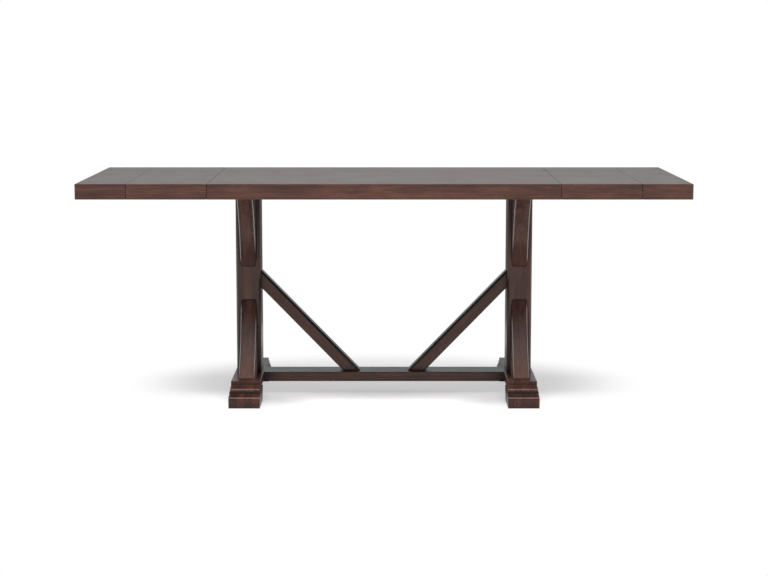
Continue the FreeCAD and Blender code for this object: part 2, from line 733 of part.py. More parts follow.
def stretcher_tenon(gap):
    """Tenon at the right end of the stretcher, or with a gap the mortise in the beam."""
    wide = STRETCHER_TENON_WIDTH / 2 + gap
    tall = STRETCHER_TENON_HEIGHT / 2 + gap
    stop = STRETCHER_END + STRETCHER_TENON_LENGTH + gap
    return block(STRETCHER_END - CUT, stop, -wide, wide, BOLT_Z - tall, BOLT_Z + tall)


def make_feet():
    """Foot beams, pads, glides and the screws between them."""
    holes = [tenon(FOOT_TOP - POST_TENON_LENGTH - GLUE_GAP, FOOT_TOP + CUT, GLUE_GAP)]
    holes += [stretcher_tenon(GLUE_GAP), bolt_passage(), flip_y(bolt_passage())]
    holes += [screw_pilot(x, y, PAD_TOP) for x, y in right_two(PAD_SCREWS)]
    save_pair_x("foot_beam", drilled(beam(), holes))
    holes = [screw_passage(x, y, PAD_TOP, GLIDE_PROUD) for x, y in PAD_SCREWS]
    holes += [upright(x, y, 0, GLIDE_THICKNESS, GLIDE_RADIUS + GLIDE_GAP) for x, y in GLIDE_ROWS]
    save_four("foot_pad", drilled(pad(), holes))
    save_screws("pad_screws", all_four(PAD_SCREWS), PAD_TOP)
    save("glides", Part.makeCompound([glide(x, y) for x, y in all_four(GLIDE_ROWS)]))


def brace_tenon(gap):
    """Stub tenon at the top of the right brace, or with a gap the mortise in the post."""
    middle = BRACE_HEEL_Z + BRACE_TALL / 2
    half = BRACE_TENON_HEIGHT / 2 + gap
    wide = BRACE_TENON_WIDTH / 2 + gap
    stop = POST_INNER + BRACE_TENON_LENGTH + gap
    return block(POST_INNER - CUT, stop, -wide, wide, middle - half, middle + half)


def brace():
    """Right brace: a sloped board cut level on the stretcher and plumb on the post."""
    side = [
        (POST_INNER, BRACE_HEEL_Z),
        (POST_INNER, BRACE_HEEL_Z + BRACE_TALL),
        (BRACE_TIP_X, STRETCHER_TOP),
        (BRACE_HEEL_X, STRETCHER_TOP),
    ]
    board = board_xz(side, -BRACE_WIDTH / 2, BRACE_WIDTH / 2)

    def sloped(shape, side):
        found = []
        for edge in shape.Edges:
            middle = edge.CenterOfMass
            centre_line = STRETCHER_TOP + (middle.x - BRACE_HEEL_X) * BRACE_SLOPE + BRACE_TALL / 2
            slanting = max(map(abs, edge.tangentAt(edge.FirstParameter))) < 0.9
            if slanting and (middle.z - centre_line) * side > 0:
                found.append(edge)
        return found

    board = board.makeFillet(BRACE_ROUND, sloped(board, 1))
    board = board.makeFillet(BRACE_UNDER_ROUND, sloped(board, -1))
    return board.fuse(brace_tenon(0).cut(board)).removeSplitter()


def make_middle():
    """Stretcher with its bolts and nuts, and the braces with their screws."""
    under = STRETCHER_TOP - STRETCHER_THICKNESS
    half = STRETCHER_WIDTH / 2
    board = block(-STRETCHER_END, STRETCHER_END, -half, half, under, STRETCHER_TOP)
    board = board.makeFillet(STRETCHER_ROUND, straight_edges(board, 0, lambda p: True))
    ends = stretcher_tenon(0)
    board = board.fuse([ends, flip_x(ends)]).removeSplitter()
    holes = []
    for hole in (bolt_passage(), nut_hole()):
        holes += [hole, flip_x(hole), flip_y(hole), flip_x(flip_y(hole))]
    holes += [screw_passage(x, y, STRETCHER_TOP, under) for x, y in all_four(BRACE_SCREWS)]
    save("stretcher", drilled(board, holes))
    for name, piece in (("stretcher_bolts", bolt()), ("barrel_nuts", nut())):
        save(name, Part.makeCompound([piece, flip_x(piece), flip_y(piece), flip_x(flip_y(piece))]))
    holes = [screw_pilot(x, y, STRETCHER_TOP) for x, y in right_two(BRACE_SCREWS)]
    save_pair_x("brace", drilled(brace(), holes))
    save_screws("brace_screws", all_four(BRACE_SCREWS), STRETCHER_TOP)


os.makedirs("parts", exist_ok=True)
make_top()
make_slides()
make_trestles()
make_feet()
make_middle()
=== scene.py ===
"""Counter height trestle table, dressed: stained and lacquered boards, plain slides, hardware, studio."""
import json
import math

import bpy
import numpy as np
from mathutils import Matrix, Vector


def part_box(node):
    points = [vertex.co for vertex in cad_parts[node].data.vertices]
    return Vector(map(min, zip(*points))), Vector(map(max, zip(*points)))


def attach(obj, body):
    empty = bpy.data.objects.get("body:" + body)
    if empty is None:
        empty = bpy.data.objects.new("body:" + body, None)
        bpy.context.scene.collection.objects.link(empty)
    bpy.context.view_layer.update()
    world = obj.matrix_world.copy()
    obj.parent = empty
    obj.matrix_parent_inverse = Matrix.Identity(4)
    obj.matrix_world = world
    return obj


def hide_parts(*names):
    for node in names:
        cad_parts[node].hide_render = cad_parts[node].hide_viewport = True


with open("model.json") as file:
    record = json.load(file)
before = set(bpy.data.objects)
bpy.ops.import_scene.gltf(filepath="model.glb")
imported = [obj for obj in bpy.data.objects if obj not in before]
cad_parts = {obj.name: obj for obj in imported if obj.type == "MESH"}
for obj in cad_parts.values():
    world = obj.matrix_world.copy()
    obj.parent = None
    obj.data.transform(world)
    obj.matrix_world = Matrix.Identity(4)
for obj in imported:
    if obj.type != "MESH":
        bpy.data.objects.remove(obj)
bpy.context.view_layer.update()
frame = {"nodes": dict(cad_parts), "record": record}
NODES = frame["nodes"]
X, Y, Z = range(3)

# Kinds of sockets that shader groups have
NUMBER = "NodeSocketFloat"
VECTOR = "NodeSocketVector"
COLOUR = "NodeSocketColor"

# Grain directions as turns that bring a board's length onto the pattern's X
ALONG_X = (0.0, 0.0, 0.0)
ALONG_Y = (0.0, 0.0, -math.pi / 2)
ALONG_Z = (math.pi / 2, 0.0, math.pi / 2)
BRACE_SLOPE = math.radians(45.9)
UP_RIGHT_BRACE = (0.0, BRACE_SLOPE, 0.0)
UP_LEFT_BRACE = (0.0, math.pi - BRACE_SLOPE, 0.0)

# Grain: noise cells per metre along, across and through a board, with the detail and roughness of the noise
DRIFT = ((1.3, 7.0, 7.0), 2.0, 0.55)
STREAKS = ((2.2, 75.0, 75.0), 5.0, 0.62)
BLOTCHES = ((7.0, 34.0, 34.0), 3.0, 0.60)
PORES = ((42.0, 900.0, 900.0), 2.0, 0.50)

# Grain: what each layer adds, and how far the pattern moves from strip to strip and from board to board
MIDDLE_TONE = 0.5
DRIFT_REACH = 0.03
DRIFT_START = 0.5
STRIP_SLIDE = 40.0
STREAK_TONE = 0.85
PORE_RANGE = (0.60, 0.70)
PORE_TONE = 0.55
STREAK_RELIEF = 0.35
BOARD_STEP = (3.1, 0.017, 1.7)
BOARD_WRAP = (7.0, 0.05, 5.0)

# Effects that finishes share: rubbed edges, dust, painted highlight lines and painted shade in hollows.
# A noise has its cells per metre and its detail. A range goes from where a mask starts to where it is full.
PLAIN_NOISE = 0.5
EDGE_RADIUS = 0.0025
EDGE_SAMPLES = 4
EDGE_TURN = (0.995, 0.80)
EDGE_CELLS = 90.0
EDGE_DETAIL = 4.0
EDGE_PATCHES = (0.42, 0.66)
DUST_FACE = (0.3, 0.95)
DUST_CLOUDS = (9.0, 5.0)
DUST_SPECKS = (1400.0, 1.0)
DUST_AMOUNT = 0.2
DUST_SHARE = 0.5
DUST_COLOUR = (0.35, 0.33, 0.31)
# Painted highlight lines: noise, patches, what is left between them, and how they fade on sides
LINE_NOISE = (45.0, 3.0)
LINE_PATCHES = (0.25, 0.55)
LINE_LEAST = 0.55
LINE_SIDE_FADE = 3.0
# Painted shade in hollows: how far it looks, its samples, how closed a place must be, its noise and patches
HOLLOW_SHADE_REACH = 0.04
HOLLOW_SHADE_SAMPLES = 8
HOLLOW_SHADE_CLOSED = (0.92, 0.45)
HOLLOW_SHADE_NOISE = (60.0, 3.0)
HOLLOW_SHADE_PATCHES = (0.2, 0.6)
HOLLOW_SHADE_LEAST = 0.6

# Stain under the lacquer and bare hardwood with their rubbed colours, and colours of painted light and
# painted highlights; linear colours
STAINED = ((0.030, 0.011, 0.0075), (0.072, 0.027, 0.018), (0.125, 0.052, 0.034))
RUBBED_STAIN = (0.24, 0.125, 0.085)
FOOT_LIGHT_COLOUR = (0.135, 0.074, 0.060)
PAINTED_HIGHLIGHT = (0.36, 0.32, 0.30)
BRACKET_HIGHLIGHT_COLOUR = (0.54, 0.49, 0.46)
HARDWOOD = ((0.30, 0.165, 0.075), (0.46, 0.285, 0.145), (0.60, 0.41, 0.235))
RUBBED_HARDWOOD = HARDWOOD[2]

# Darker colour, as shares of the colour beneath: painted shade, and the dark lines at the joints of brackets
# and at the seams of the top
DARK_TINT = (0.25, 0.22, 0.22)
SIDE_SHADE_TINT = (0.62, 0.58, 0.58)
CORNER_SHADE_TINT = (0.12, 0.10, 0.10)
ARRIS_SHADE_TINT = (0.76, 0.80, 0.87)
BRACE_SHADE_TINT = (0.10, 0.085, 0.085)
END_SHADE_TINT = (0.42, 0.38, 0.38)
SEAM_TINT = (0.2, 0.17, 0.17)
TOP_SHADE_TINT = (0.46, 0.44, 0.42)

# Lacquer and bare wood: roughness, its swing with the grain, the clear coat and the relief of the grain
LACQUER_ROUGHNESS = 0.27
HARDWOOD_ROUGHNESS = 0.55
SHADE_ROUGHNESS = 0.10
PORE_ROUGHNESS = 0.08
LACQUER_COAT = 0.06
COAT_ROUGHNESS = 0.28
LACQUER_IOR = 1.45
GRAIN_STRENGTH = 0.12
GRAIN_DEPTH = 0.0004

# Zinc plated steel and dark nylon: dark, pale and rubbed colour, noises, edges, roughness and relief
STEEL_COLOURS = ((0.50, 0.51, 0.53), (0.66, 0.66, 0.64), (0.78, 0.77, 0.75))
STEEL_CLOUDS = (160.0, 4.0)
STEEL_MARKS = ((300.0, 300.0, 5200.0), 2.0, 0.55)
STEEL_EDGE = {"Radius": 0.0006, "Breakup": 900.0}
STEEL_ROUGHNESS = (0.25, 0.22)
STEEL_STRENGTH = 0.15
NYLON_COLOURS = ((0.018, 0.017, 0.016), (0.040, 0.037, 0.034), (0.14, 0.13, 0.12))
NYLON_CLOUDS = (120.0, 4.0)
NYLON_SPARK = (2600.0, 2.0)
NYLON_EDGE = {"Radius": 0.0012, "Breakup": 500.0}
NYLON_ROUGHNESS = (0.2, 0.42)
NYLON_STRENGTH = 0.2
NYLON_RUB = 0.6
MARK_DEPTH = 0.0001

# Painted light, painted shade, painted highlights and dark lines in metres: a pair goes from where a mask
# starts to where it is full, and the thin part of the post's corner shade from where it gets thinner to
# where it is thinnest
NOSE_HIGHLIGHT_HALF = 0.0030
FOOT_LIGHT_HEIGHT = 0.140
OUTER_FADE = (0.012, 0.045)
INNER_FADE = (0.050, 0.130)
JOINT_LINE = (0.0022, 0.0008)
SEAM_LINE = (0.0018, 0.00072)
ARRIS_BAND = (0.0085, 0.0030)
BRACE_FOOT_FADE = 0.100
END_SHADE_REACH = 0.085
CORNER_REACH = (0.0100, 0.0050)
CORNER_START = (0.015, 0.045)
CORNER_THIN = (0.110, 0.190)
CORNER_HIGHLIGHT_BAND = (0.0085, 0.0045)

# Painted shade and highlights by how much a surface looks along an axis: from where a mask starts to where
# it is full
TOP_FACE = (0.6, 0.95)
UPRIGHT_FACE = (0.6, 0.2)
OFF_SIDE = (0.05, 0.2)
BRACKET_SIDE = (0.97, 0.995)
BRACKET_TURN = ((0.76, 0.90), (0.998, 0.97))
BRACKET_LINE = ((0.30, 0.50), (0.82, 0.66))
BRACE_TURN = ((0.08, 0.30), (0.98, 0.88))

# Painted light, shade and highlights: strength of highlight lines, roughness of painted shade and dark
# lines, and what is left of a shade at its thin end
NOSE_HIGHLIGHT = 0.40
BRACKET_HIGHLIGHT = 0.90
CORNER_HIGHLIGHT = 0.40
FOOT_LIGHT_POWER = 2.0
SIDE_DULL = 0.45
DARK_DULL = 0.75
CORNER_DULL = 0.85
SEAM_DULL = 0.95
BRACE_LEAST = 0.4
CORNER_LEAST = 0.4

# Kinds of boards, by the ending of their names; a board without an entry has the usual value.
# How deep the stain has gone, the width of glued strips, the tones of strips and of blotches, the rub on
# arrises and the painted shade in hollows and inside corners.
STAIN_DEPTH = {
    "_panel": (1.30, 1.36, 1.42),
    "_edge": (1.30, 1.36, 1.42),
    "_upper_bracket": (1.10, 1.02, 1.00),
    "_lower_bracket": (1.05, 0.95, 0.94),
    "_post": (1.1, 1.1, 1.1),
    "_foot_pad": (0.97, 0.72, 0.64),
    "_foot_beam": (1.10, 0.88, 0.80),
    "_brace": (1.00, 0.86, 0.74),
    "stretcher": (1.02, 0.86, 0.80),
}
USUAL_DEPTH = (1.0, 1.0, 1.0)
STRIPS = {"_post": 0.034, "_bracket": 0.035, "_foot_pad": 0.030, "_foot_beam": 0.030}
USUAL_STRIP = 0.09
TONES = {
    "_edge": (0.30, 1.25),
    "_foot_pad": (0.42, 1.30),
    "_foot_beam": (0.42, 1.30),
    "_post": (0.40, 1.40),
    "_bracket": (0.42, 1.65),
    "_brace": (0.30, 1.25),
    "stretcher": (0.30, 1.30),
}
USUAL_TONES = (0.30, 0.75)
RUB = {"_edge": 0.2}
USUAL_RUB = 0.5
HOLLOW_SHADED = {"_bracket": 0.0, "_edge": 0.0}
USUAL_HOLLOW_SHADE = 0.75

# Tips of brackets: where their painted shade starts and is full, how dark and how dull it is; feet: height
# of the painted highlight line on a nose
TIP_REACH = {"_upper_bracket": (0.230, 0.040), "_lower_bracket": (0.170, 0.015)}
TIP_TINT = {"_upper_bracket": (0.88, 0.69, 0.68), "_lower_bracket": (0.85, 0.80, 0.80)}
TIP_DULL = {"_upper_bracket": 0.75, "_lower_bracket": 0.0}
NOSE_LINE = {"_foot_pad": 0.0425, "_foot_beam": 0.0690}

# Wood screws in metres: head, cross recess, plain shank and thread; they ride on the bodies that they hold
SCREW_BODIES = {
    "runner_screws": "base",
    "left_rail_screws": "left_end",
    "right_rail_screws": "right_end",
    "bearer_screws": "base",
    "pad_screws": "base",
    "brace_screws": "base",
}
SCREW_SIDES = 32
FACE_RINGS = (0.0003, 0.0007, 0.0010, 0.0013, 0.0016, 0.0019, 0.0022, 0.0025, 0.0029, 0.0036)
HEAD_RADIUS = 0.0046
HEAD_HEIGHT = 0.0032
RIM_RADIUS = 0.0009
RIM_STEPS = 5
RECESS_DEPTH = 0.0017
RECESS_ARM = 0.0023
RECESS_HALF = 0.0006
RECESS_SLOPE = 0.0003
THREAD_RADIUS = 0.00225
CORE_RADIUS = 0.0016
SHANK_LENGTH = 0.014
THREAD_RUN_IN = 0.0004
PITCH = 0.0024
RIDGE_SLOPE = 4.0
STEPS_PER_TURN = 5
POINT_LENGTH = 0.007
POINT_GAP = 0.0003
TIP_TOLERANCE = 1e-5
PLACE_DIGITS = 5
SHARP_ANGLE = math.radians(40.0)

# Floor in metres: its disc, the field that keeps the shadow, painted shadow pools by the feet and in the
# middle, light under the pads
FLOOR_RADIUS = 1.8
FLOOR_SIDES = 96
FLOOR_HEIGHT = -0.0003
FLOOR_PAINT = (0.80, 0.80, 0.80)
FLOOR_LIFT = 0.50
UNDER_GLOW = 0.6
UNDER_REACH = 0.002
SHADOW_MIDDLE = (0.0, 0.22, 0.0)
SHADOW_REACH = (1.14, 0.76, 1.0)
SHADOW_FADE = (0.62, 1.0)
FOOT_SHADOW_POOL = ((0.46, -0.26, 0.0), (0.24, 0.24, 1.0), 0.75)
MIDDLE_SHADOW_POOL = ((0.0, -0.09, 0.0), (0.62, 0.16, 1.0), 0.28)

# Surroundings: light that they give, and what reflections see
WHITE = (1.0, 1.0, 1.0)
AMBIENT_FRONT = (0.47, 0.47, 0.47)
AMBIENT_BACK = (0.22, 0.22, 0.22)
BACK_WALL = (0.617, 0.668, 0.685)
BACK_FLOOR = (0.20, 0.21, 0.21)
SIDE_WALL = (0.08, 0.08, 0.08)
SIDE_STRIP = (2.2, 2.2, 2.2)
FRONT_WALL = (0.10, 0.10, 0.10)
FRONT_FLOOR = (0.95, 0.95, 0.95)
CEILING = (1.8, 1.8, 1.8)

# Directions in which the surroundings change, from nothing to all: Y points to the back and Z up
AMBIENT_Y = (0.2, -0.7)
BACK_Y = (0.80, 0.92)
BACK_Z = (0.50, 0.30)
BACK_WALL_Z = (-0.02, 0.05)
STRIP_FRONT_Y = (-0.52, -0.42)
STRIP_BACK_Y = (0.12, 0.02)
STRIP_Z = (0.08, 0.0)
FRONT_Y = (-0.45, -0.60)
FRONT_FLOOR_Z = (0.0, -0.05)
CEILING_Y = (0.35, 0.05)
CEILING_Z = (0.45, 0.82)

# Lamps: place, aim and size in metres, and power in watts
SOFTBOXES = {
    "overhead_softbox": ((0.0, 0.1, 3.4), (0.0, 0.0, 0.5), (3.0, 1.6), 40.0),
    "front_softbox": ((0.0, -1.35, 3.3), (0.0, -0.2, 0.4), (3.6, 0.8), 112.0),
}

# Camera solved from the table's own corners: a long lens, a little above the top, looking slightly down
CAMERA_PLACE = (0.0, -7.548, 1.4935)
CAMERA_TURN = (math.radians(90.0 - 7.95), 0.0, 0.0)
CAMERA_LENS = 85.02
CAMERA_SENSOR = 36.0


def place(tree, kind, inputs=None, **settings):
    """New node with its settings; an input is linked where it is a socket, and set where it is a value."""
    made = tree.nodes.new(kind)
    for key, value in settings.items():
        setattr(made, key, value)
    for key, value in (inputs or {}).items():
        if isinstance(value, bpy.types.NodeSocket):
            tree.links.new(value, made.inputs[key])
        elif isinstance(value, tuple) and len(value) == 3 and made.inputs[key].type == "RGBA":
            made.inputs[key].default_value = value + (1.0,)
        else:
            made.inputs[key].default_value = value
    return made


def maths(tree, operation, first, second=0.5, third=0.5, clamp=False):
    """Result of one Math node."""
    values = {0: first, 1: second, 2: third}
    return place(tree, "ShaderNodeMath", values, operation=operation, use_clamp=clamp).outputs[0]


def product(tree, first, *others):
    """Values multiplied together."""
    for other in others:
        first = maths(tree, "MULTIPLY", first, other)
    return first


def apart(tree, value, line):
    """Distance of a value from a line."""
    return maths(tree, "ABSOLUTE", maths(tree, "SUBTRACT", value, line))


def vectors(tree, operation, first, second=(0.0, 0.0, 0.0)):
    """Result of one Vector Math node."""
    made = place(tree, "ShaderNodeVectorMath", {0: first, 1: second}, operation=operation)
    return made.outputs["Value" if operation in ("DOT_PRODUCT", "LENGTH") else "Vector"]


def parts_of(tree, vector):
    """X, Y and Z of a vector."""
    return place(tree, "ShaderNodeSeparateXYZ", {0: vector}).outputs


def span(tree, value, low, high, first=0.0, last=1.0):
    """Straight change from the first result at the low end to the last one at the high end."""
    ends = {"Value": value, "From Min": low, "From Max": high, "To Min": first, "To Max": last}
    return place(tree, "ShaderNodeMapRange", ends).outputs[0]


def ramp(tree, value, low, high):
    """Smooth step from 0 at the low end to 1 at the high end."""
    ends = {"Value": value, "From Min": low, "From Max": high}
    return place(tree, "ShaderNodeMapRange", ends, interpolation_type="SMOOTHSTEP").outputs[0]


def band(tree, value, rise, fall):
    """Smooth step up over one range and down again over another."""
    return product(tree, ramp(tree, value, *rise), ramp(tree, value, *fall))


def blend_colour(tree, factor, first, second, mode="MIX"):
    """Result of one colour Mix node."""
    made = place(tree, "ShaderNodeMix", {0: factor, 6: first, 7: second}, data_type="RGBA", blend_type=mode)
    return made.outputs[2]


def object_place(tree):
    """Place on the object, in metres."""
    return place(tree, "ShaderNodeTexCoord").outputs["Object"]


def position(tree, axis):
    """Place on the object along one axis."""
    return parts_of(tree, object_place(tree))[axis]


def normal(tree):
    """Surface normal."""
    return place(tree, "ShaderNodeNewGeometry").outputs["Normal"]


def facing(tree, axis):
    """How much the surface looks along an axis, either way."""
    return maths(tree, "ABSOLUTE", parts_of(tree, normal(tree))[axis])


def noise(tree, vector, cells, detail, roughness=PLAIN_NOISE):
    """Noise with as many cells per metre every way."""
    inputs = {"Vector": vector, "Scale": cells, "Detail": detail, "Roughness": roughness}
    return place(tree, "ShaderNodeTexNoise", inputs).outputs[0]


def drawn_noise(tree, vector, cells, detail, roughness):
    """Noise drawn out along a board: cells per metre for each axis."""
    return noise(tree, vectors(tree, "MULTIPLY", vector, cells), 1.0, detail, roughness)


def new_group(name, inputs, outputs):
    """Empty shader group with its sockets; gives the tree, the input sockets and the output node."""
    tree = bpy.data.node_groups.new(name, "ShaderNodeTree")
    for label, kind, value in inputs:
        socket = tree.interface.new_socket(label, in_out="INPUT", socket_type=kind)
        if value is not None:
            socket.default_value = value
    for label, kind in outputs:
        tree.interface.new_socket(label, in_out="OUTPUT", socket_type=kind)
    return tree, tree.nodes.new("NodeGroupInput").outputs, tree.nodes.new("NodeGroupOutput")


def make_grain_group():
    """Board grain: glued strips of differing tone, long streaks, soft blotches of stain and open pores."""
    tree, given, out = new_group(
        "board_grain",
        [
            ("Board", VECTOR, None),
            ("Strip", NUMBER, USUAL_STRIP),
            ("Strip Tone", NUMBER, USUAL_TONES[0]),
            ("Blotch Tone", NUMBER, USUAL_TONES[1]),
            ("Dark", COLOUR, None),
            ("Middle", COLOUR, None),
            ("Pale", COLOUR, None),
        ],
        [("Colour", COLOUR), ("Shade", NUMBER), ("Pores", NUMBER), ("Height", NUMBER)],
    )
    drift = drawn_noise(tree, given["Board"], *DRIFT)
    shift = maths(tree, "MULTIPLY_ADD", drift, DRIFT_REACH, DRIFT_START)
    bent = vectors(tree, "ADD", given["Board"], shift)
    across = parts_of(tree, given["Board"])[Y]
    strip = maths(tree, "FLOOR", maths(tree, "DIVIDE", across, given["Strip"]))
    tone = place(tree, "ShaderNodeTexWhiteNoise", {"W": strip}, noise_dimensions="1D").outputs[0]
    slide = place(tree, "ShaderNodeCombineXYZ", {0: product(tree, tone, STRIP_SLIDE)}).outputs[0]
    own = vectors(tree, "ADD", bent, slide)
    streak = drawn_noise(tree, own, *STREAKS)
    blotch = drawn_noise(tree, own, *BLOTCHES)
    pores = ramp(tree, drawn_noise(tree, own, *PORES), *PORE_RANGE)

    def swing(value, amount):
        return product(tree, maths(tree, "SUBTRACT", value, MIDDLE_TONE), amount)

    shade = maths(tree, "ADD", swing(tone, given["Strip Tone"]), swing(streak, STREAK_TONE))
    shade = maths(tree, "ADD", shade, swing(blotch, given["Blotch Tone"]))
    shade = maths(tree, "ADD", shade, MIDDLE_TONE, clamp=True)
    wood = blend_colour(tree, span(tree, shade, 0.0, MIDDLE_TONE), given["Dark"], given["Middle"])
    wood = blend_colour(tree, span(tree, shade, MIDDLE_TONE, 1.0), wood, given["Pale"])
    wood = blend_colour(tree, product(tree, pores, PORE_TONE), wood, given["Dark"])
    height = maths(tree, "SUBTRACT", product(tree, streak, STREAK_RELIEF), pores)
    for label, socket in (("Colour", wood), ("Shade", shade), ("Pores", pores), ("Height", height)):
        tree.links.new(socket, out.inputs[label])
    return tree


def make_edge_group():
    """Rubbed edges: where a rounded normal leaves the true one, in patches; also gives that soft normal."""
    tree, given, out = new_group(
        "rubbed_edges",
        [("Place", VECTOR, None), ("Radius", NUMBER, EDGE_RADIUS), ("Breakup", NUMBER, EDGE_CELLS)],
        [("Mask", NUMBER), ("Normal", VECTOR)],
    )
    soft = place(tree, "ShaderNodeBevel", {"Radius": given["Radius"]}, samples=EDGE_SAMPLES).outputs[0]
    corner = span(tree, vectors(tree, "DOT_PRODUCT", soft, normal(tree)), *EDGE_TURN)
    patchy = span(tree, noise(tree, given["Place"], given["Breakup"], EDGE_DETAIL), *EDGE_PATCHES)
    tree.links.new(product(tree, corner, patchy), out.inputs["Mask"])
    tree.links.new(soft, out.inputs["Normal"])
    return tree


def make_dust_group():
    """Faint dust: more on faces that look up, in soft clouds."""
    tree, given, out = new_group("settled_dust", [("Place", VECTOR, None)], [("Mask", NUMBER)])
    upward = span(tree, parts_of(tree, normal(tree))[Z], *DUST_FACE)
    cloud = noise(tree, given["Place"], *DUST_CLOUDS)
    fine = noise(tree, given["Place"], *DUST_SPECKS)
    tree.links.new(product(tree, upward, cloud, fine, DUST_AMOUNT), out.inputs["Mask"])
    return tree


def make_highlight_line_group():
    """Painted highlight line: a pale band at a set place across a board, patchy along it and not on its
    sides.
    """
    tree, given, out = new_group(
        "painted_highlight_line",
        [("Place", VECTOR, None), ("Across", NUMBER, None), ("Line", NUMBER, None), ("Half", NUMBER, None)],
        [("Mask", NUMBER)],
    )
    away = maths(tree, "DIVIDE", apart(tree, given["Across"], given["Line"]), given["Half"])
    near = maths(tree, "SUBTRACT", 1.0, away, clamp=True)
    patchy = span(tree, noise(tree, given["Place"], *LINE_NOISE), *LINE_PATCHES, LINE_LEAST)
    sideways = product(tree, facing(tree, X), LINE_SIDE_FADE)
    off_side = maths(tree, "SUBTRACT", LINE_SIDE_FADE, sideways, clamp=True)
    tree.links.new(product(tree, near, off_side, patchy), out.inputs["Mask"])
    return tree


def make_hollow_shade_group():
    """Painted shade in hollows and inside corners: how much of the near surroundings is closed off, in
    patches.
    """
    tree, given, out = new_group("painted_hollow_shade", [("Place", VECTOR, None)], [("Mask", NUMBER)])
    reach = {"Distance": HOLLOW_SHADE_REACH}
    around = place(tree, "ShaderNodeAmbientOcclusion", reach, samples=HOLLOW_SHADE_SAMPLES)
    closed = span(tree, around.outputs["AO"], *HOLLOW_SHADE_CLOSED)
    patchy = span(tree, noise(tree, given["Place"], *HOLLOW_SHADE_NOISE), *HOLLOW_SHADE_PATCHES, HOLLOW_SHADE_LEAST)
    tree.links.new(product(tree, closed, patchy), out.inputs["Mask"])
    return tree


GRAIN = make_grain_group()
EDGES = make_edge_group()
DUST = make_dust_group()
HIGHLIGHT_LINES = make_highlight_line_group()
HOLLOW_SHADE = make_hollow_shade_group()


def new_material(name):
    """New material with its Principled shader; gives the material, its tree and the shader."""
    made = bpy.data.materials.new(name)
    made.use_nodes = True
    tree = made.node_tree
    return made, tree, tree.nodes["Principled BSDF"]


def effect(tree, group, inputs):
    """Outputs of a shared effect."""
    return place(tree, "ShaderNodeGroup", inputs, node_tree=group).outputs


def feed(tree, shader, colour, rough, height, soft, strength, depth):
    """Give a shader its colour, its roughness, and fine relief on top of the soft normal."""
    relief = {"Height": height, "Normal": soft, "Strength": strength, "Distance": depth}
    tree.links.new(colour, shader.inputs["Base Color"])
    tree.links.new(rough, shader.inputs["Roughness"])
    tree.links.new(place(tree, "ShaderNodeBump", relief).outputs[0], shader.inputs["Normal"])


def board_material(
    name,
    turn,
    seed,
    colours,
    rubbed,
    strip=USUAL_STRIP,
    tones=USUAL_TONES,
    rub=USUAL_RUB,
    hollow_shaded=USUAL_HOLLOW_SHADE,
    roughness=LACQUER_ROUGHNESS,
    coat=LACQUER_COAT,
):
    """Wood finish for one board: grain along its length, rubbed arrises, faint dust, painted shade in
    hollows and fine relief.
    """
    made, tree, shader = new_material(name)
    where = object_place(tree)
    offset = tuple(step * seed % wrap for step, wrap in zip(BOARD_STEP, BOARD_WRAP))
    board = place(tree, "ShaderNodeMapping", {"Vector": where, "Rotation": turn, "Location": offset})
    grain = effect(tree, GRAIN, {
        "Board": board.outputs[0],
        "Strip": strip,
        "Strip Tone": tones[0],
        "Blotch Tone": tones[1],
        "Dark": colours[0],
        "Middle": colours[1],
        "Pale": colours[2],
    })
    edges = effect(tree, EDGES, {"Place": where})
    dust = effect(tree, DUST, {"Place": where})["Mask"]
    # Painted shade: darker where the near surroundings close in, in hollows and inside corners
    hollow_shade = effect(tree, HOLLOW_SHADE, {"Place": where})["Mask"]
    colour = blend_colour(tree, product(tree, edges["Mask"], rub), grain["Colour"], rubbed)
    colour = blend_colour(tree, product(tree, dust, DUST_SHARE), colour, DUST_COLOUR)
    shaded = blend_colour(tree, 1.0, colour, DARK_TINT, "MULTIPLY")
    colour = blend_colour(tree, product(tree, hollow_shade, hollow_shaded), colour, shaded)
    rough = maths(tree, "MULTIPLY_ADD", grain["Shade"], SHADE_ROUGHNESS, roughness - SHADE_ROUGHNESS / 2)
    rough = maths(tree, "ADD", rough, product(tree, grain["Pores"], PORE_ROUGHNESS))
    rough = maths(tree, "ADD", rough, dust)
    feed(tree, shader, colour, rough, grain["Height"], edges["Normal"], GRAIN_STRENGTH, GRAIN_DEPTH)
    shader.inputs["Coat Weight"].default_value = coat
    shader.inputs["Coat Roughness"].default_value = COAT_ROUGHNESS
    shader.inputs["IOR"].default_value = LACQUER_IOR
    return made


def steel_material(name):
    """Zinc plated steel: cool, slightly clouded, with fine turning marks and worn arrises."""
    made, tree, shader = new_material(name)
    where = object_place(tree)
    dark, pale, rubbed = STEEL_COLOURS
    marks = drawn_noise(tree, where, *STEEL_MARKS)
    edges = effect(tree, EDGES, {"Place": where, **STEEL_EDGE})
    colour = blend_colour(tree, noise(tree, where, *STEEL_CLOUDS), dark, pale)
    colour = blend_colour(tree, edges["Mask"], colour, rubbed)
    rough = maths(tree, "MULTIPLY_ADD", marks, *STEEL_ROUGHNESS)
    feed(tree, shader, colour, rough, marks, edges["Normal"], STEEL_STRENGTH, MARK_DEPTH)
    shader.inputs["Metallic"].default_value = 1.0
    return made


